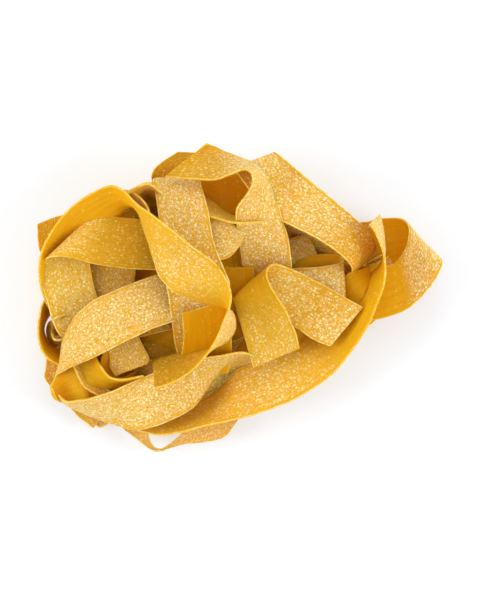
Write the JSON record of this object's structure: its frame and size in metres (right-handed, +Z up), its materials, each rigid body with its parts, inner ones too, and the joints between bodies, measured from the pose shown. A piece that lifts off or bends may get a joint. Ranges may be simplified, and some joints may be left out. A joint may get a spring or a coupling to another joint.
{
  "type": "dry pasta nest",
  "caption": "Dried nest of broad flat egg-pasta ribbons, looped and folded into one loose oval heap that rests on its base.",
  "frame": {"origin": "on the surface that the heap stands on, near the middle of the heap", "axes": "+Z up out of the heap, +X along its long side, +Y across it; seen from above, +Y is the back, where the wide top fold is"},
  "size_m": [0.1018, 0.0772, 0.038],
  "materials": {
    "dried_dough": "matt, with fine pale blisters"
  },
  "bodies": {
    "root": {"pasta_nest": "dried_dough"}
  },
  "joints": []
}
